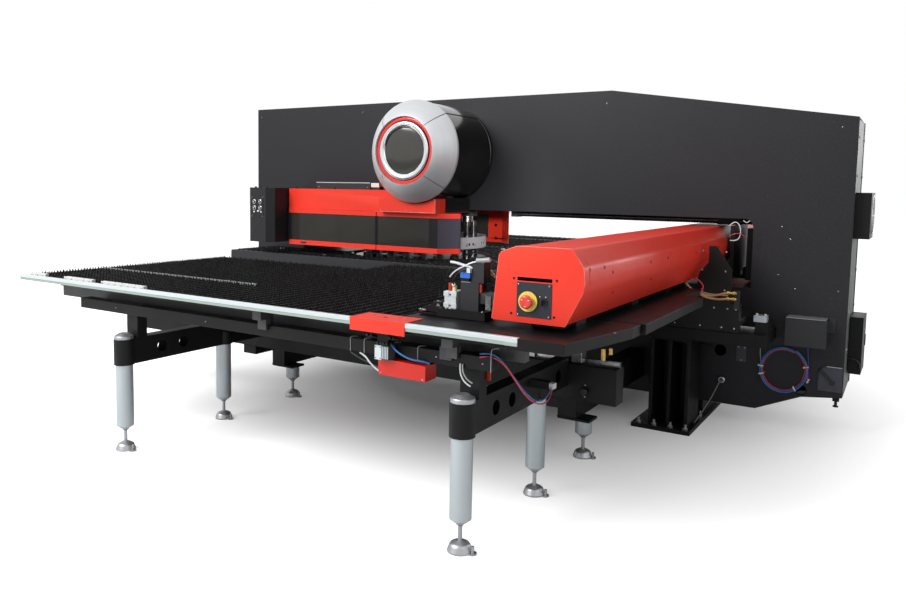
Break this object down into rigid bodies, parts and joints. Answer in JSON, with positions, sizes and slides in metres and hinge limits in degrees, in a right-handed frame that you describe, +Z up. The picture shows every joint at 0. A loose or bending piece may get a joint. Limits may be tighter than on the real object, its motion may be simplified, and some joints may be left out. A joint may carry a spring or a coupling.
{
  "type": "cnc turret punch press",
  "caption": "Turret punch press: closed frame with a deep throat, round turrets under a motor cover, brush tables and a clamp gantry that feeds sheet.",
  "frame": {"origin": "on the floor under the middle of the machine, in the middle plane of its frame", "axes": "+X along the frame towards its rear end, +Y across it away from the operator, +Z up"},
  "size_m": [5.382, 6.368, 2.376],
  "materials": {
    "charcoal_paint": "satin textured paint",
    "green_paint": "satin paint",
    "red_paint": "gloss paint",
    "black_paint": "satin paint",
    "grey_cast": "painted casting",
    "black_gloss": "gloss",
    "red_gloss": "gloss",
    "spun_aluminium": "spun, satin",
    "extruded_aluminium": "extruded, satin",
    "smoked_window": "clear",
    "silver_paint": "silver, satin",
    "bristle_black": "bristles",
    "ground_steel": "ground",
    "zinc_steel": "zinc plated",
    "tool_steel": "blackened and ground",
    "button_plastic": "gloss",
    "knob_plastic": "satin",
    "fan_plastic": "satin",
    "hose_plastic": "satin",
    "wire_sheath": "satin"
  },
  "bodies": {
    "frame": {"frame_side_plate_near": "charcoal_paint", "frame_side_plate_far": "charcoal_paint", "frame_outer_webs": "green_paint", "frame_inner_webs": "charcoal_paint", "bearing_housings": "grey_cast", "turret_guards": "red_paint", "guard_windows": "smoked_window", "turret_control_box": "charcoal_paint", "motor_drum": "black_gloss", "motor_cone_ring": "spun_aluminium", "motor_nose": "red_gloss", "motor_step_cover": "red_paint", "fixed_tables": "black_paint", "fixed_table_brushes": "bristle_black", "gantry_ledges": "black_paint", "guide_rails": "ground_steel", "floor_plates": "black_paint", "leg_tubes": "silver_paint", "leg_hardware": "zinc_steel", "support_arms": "black_paint", "box_beams": "black_paint", "table_guide_beams": "black_paint", "fan_box": "black_paint", "rear_cabinet": "black_paint", "side_fittings": "charcoal_paint", "hose_coil": "hose_plastic", "earth_cable": "wire_sheath"},
    "gantry": {"side_tables": "black_paint", "rail_bearing_blocks": "ground_steel", "side_table_brushes": "bristle_black", "table_edge_profiles": "extruded_aluminium", "flat_plates": "black_paint", "carriage_cover": "red_paint", "cover_control_plate": "zinc_steel", "gantry_beam": "black_paint", "gantry_trucks": "black_paint", "gauge_cover": "red_paint", "gauge_cylinder": "extruded_aluminium"},
    "gantry_screw": {"gantry_ball_screw": "ground_steel"},
    "cross_screw": {"cross_ball_screw": "ground_steel"},
    "clamps": {"clamp_carriage": "black_paint"},
    "jaw_1": {"clamp_jaw_1": "ground_steel"},
    "jaw_2": {"clamp_jaw_2": "ground_steel"},
    "jaw_3": {"clamp_jaw_3": "ground_steel"},
    "upper_turret": {"upper_turret": "ground_steel", "turret_tools": "tool_steel"},
    "active_punch": {"active_punch": "tool_steel"},
    "lower_turret": {"lower_turret": "ground_steel"},
    "ram": {"punch_ram": "ground_steel"},
    "door": {"guard_door": "red_paint"},
    "button_1": {"control_button_1": "button_plastic"},
    "button_2": {"control_button_2": "button_plastic"},
    "button_3": {"control_button_3": "button_plastic"},
    "button_4": {"control_button_4": "button_plastic"},
    "estop": {"estop_button": "button_plastic"},
    "selector": {"selector_knob": "knob_plastic"},
    "gauge_pin": {"gauge_pin": "ground_steel"},
    "fan": {"fan_rotor": "fan_plastic"},
    "isolator": {"isolator_lever": "knob_plastic"},
    "cabinet_door": {"rear_cabinet_door": "black_paint"}
  },
  "joints": [
    {"name": "gantry_slide", "type": "slide", "parent": "frame", "child": "gantry", "axis": [1, 0, 0], "range_m": [-1.48, 0.03]},
    {"name": "gantry_screw_spin", "type": "hinge", "parent": "frame", "child": "gantry_screw", "pos_m": [0.06, 0, 1.42], "axis": [1, 0, 0], "continuous": true},
    {"name": "clamp_slide", "type": "slide", "parent": "gantry", "child": "clamps", "axis": [0, 1, 0], "range_m": [0, 3.03]},
    {"name": "cross_screw_spin", "type": "hinge", "parent": "gantry", "child": "cross_screw", "pos_m": [1.398, 0, 1.228], "axis": [0, 1, 0], "continuous": true},
    {"name": "jaw_1_pivot", "type": "hinge", "parent": "clamps", "child": "jaw_1", "pos_m": [1.05, -2.87, 1.052], "axis": [0, 1, 0], "range_deg": [0, 6]},
    {"name": "jaw_2_pivot", "type": "hinge", "parent": "clamps", "child": "jaw_2", "pos_m": [1.05, -1.95, 1.052], "axis": [0, 1, 0], "range_deg": [0, 6]},
    {"name": "jaw_3_pivot", "type": "hinge", "parent": "clamps", "child": "jaw_3", "pos_m": [1.05, -1.03, 1.052], "axis": [0, 1, 0], "range_deg": [0, 6]},
    {"name": "upper_turret_spin", "type": "hinge", "parent": "frame", "child": "upper_turret", "pos_m": [-0.94, 0, 1.1], "axis": [0, 0, 1], "continuous": true},
    {"name": "lower_turret_spin", "type": "hinge", "parent": "frame", "child": "lower_turret", "pos_m": [-0.94, 0, 0.9], "axis": [0, 0, 1], "continuous": true},
    {"name": "ram_slide", "type": "slide", "parent": "frame", "child": "ram", "axis": [0, 0, 1], "range_m": [-0.035, 0]},
    {"name": "active_punch_slide", "type": "slide", "parent": "upper_turret", "child": "active_punch", "axis": [0, 0, 1], "range_m": [-0.035, 0]},
    {"name": "door_hinge", "type": "hinge", "parent": "frame", "child": "door", "pos_m": [-1.85, -0.788, 1.25], "axis": [0, 0, -1], "range_deg": [0, 85]},
    {"name": "button_1_press", "type": "slide", "parent": "frame", "child": "button_1", "axis": [0, 1, 0], "range_m": [0, 0.005], "stiffness_N_per_m": 300},
    {"name": "button_2_press", "type": "slide", "parent": "frame", "child": "button_2", "axis": [0, 1, 0], "range_m": [0, 0.005], "stiffness_N_per_m": 300},
    {"name": "button_3_press", "type": "slide", "parent": "frame", "child": "button_3", "axis": [0, 1, 0], "range_m": [0, 0.005], "stiffness_N_per_m": 300},
    {"name": "button_4_press", "type": "slide", "parent": "frame", "child": "button_4", "axis": [0, 1, 0], "range_m": [0, 0.005], "stiffness_N_per_m": 300},
    {"name": "estop_press", "type": "slide", "parent": "gantry", "child": "estop", "axis": [0, 1, 0], "range_m": [0, 0.005], "stiffness_N_per_m": 600},
    {"name": "selector_turn", "type": "hinge", "parent": "gantry", "child": "selector", "pos_m": [1.612, -3.01, 1.152], "axis": [0, 1, 0], "range_deg": [-45, 45]},
    {"name": "gauge_pin_lift", "type": "slide", "parent": "gantry", "child": "gauge_pin", "axis": [0, 0, 1], "range_m": [0, 0.06]},
    {"name": "fan_spin", "type": "hinge", "parent": "frame", "child": "fan", "pos_m": [2.6, 0, 1.488], "axis": [1, 0, 0], "continuous": true},
    {"name": "isolator_turn", "type": "hinge", "parent": "frame", "child": "isolator", "pos_m": [2.512, -0.32, 0.383], "axis": [0, 1, 0], "range_deg": [-45, 45]},
    {"name": "cabinet_door_hinge", "type": "hinge", "parent": "frame", "child": "cabinet_door", "pos_m": [2.6513, 0.288, 0.6], "axis": [0, 0, 1], "range_deg": [0, 110]}
  ],
  "couplings": [
    {"joint": "gantry_screw_spin", "follows": "gantry_slide", "rad_per_m": 157.08},
    {"joint": "cross_screw_spin", "follows": "clamp_slide", "rad_per_m": 157.08},
    {"joint": "jaw_2_pivot", "follows": "jaw_1_pivot", "ratio": 1},
    {"joint": "jaw_3_pivot", "follows": "jaw_1_pivot", "ratio": 1},
    {"joint": "upper_turret_spin", "follows": "lower_turret_spin", "ratio": 1},
    {"joint": "active_punch_slide", "follows": "ram_slide", "ratio": 1}
  ]
}
